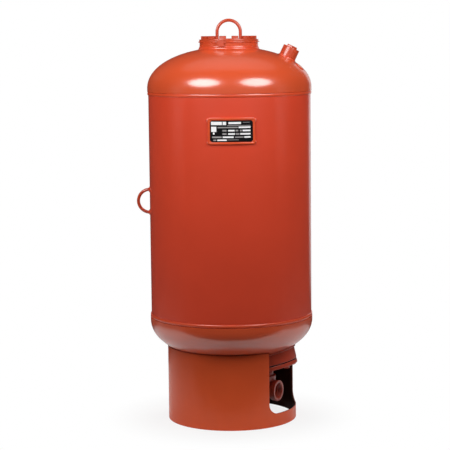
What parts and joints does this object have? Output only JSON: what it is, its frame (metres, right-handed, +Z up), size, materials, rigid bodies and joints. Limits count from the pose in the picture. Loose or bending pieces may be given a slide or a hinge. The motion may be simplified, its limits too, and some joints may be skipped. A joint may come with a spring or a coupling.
{
  "type": "well pressure tank",
  "caption": "Upright steel pressure tank on a windowed skirt, with dished heads, a top neck under a castellated ring and a bladder fed from below.",
  "frame": {"origin": "on the tank's axis at the skirt's foot, on the floor", "axes": "+Z up the tank's axis; -Y faces the viewer, towards the nameplate; the skirt's window opens towards +X"},
  "size_m": [0.6628, 0.6203, 1.5162],
  "materials": {
    "paint": "satin",
    "cast_paint": "satin",
    "plug_paint": "satin",
    "rubber": "matte",
    "steel": "satin",
    "brass": "satin",
    "cap_plastic": "matte",
    "label": "satin"
  },
  "bodies": {
    "root": {"shell": "paint", "top_head": "paint", "bottom_head": "paint", "skirt": "paint", "neck": "paint", "top_cover": "paint", "locking_ring": "paint", "ring_stop": "paint", "top_lifting_ring": "paint", "side_lifting_ring": "paint", "charging_coupling": "paint", "charging_plug": "paint", "shoulder_boss": "paint", "nameplate_pan": "paint", "mouth_flange": "paint", "mouth_cover": "paint", "mouth_bolts": "paint", "water_pipe": "paint", "cover_seal": "rubber", "bladder": "rubber", "bladder_hanger": "steel", "hanger_nut": "steel", "air_valve": "brass", "valve_cap": "cap_plastic", "shoulder_plug": "plug_paint", "nameplate": "label", "elbow": "cast_paint"}
  },
  "joints": []
}
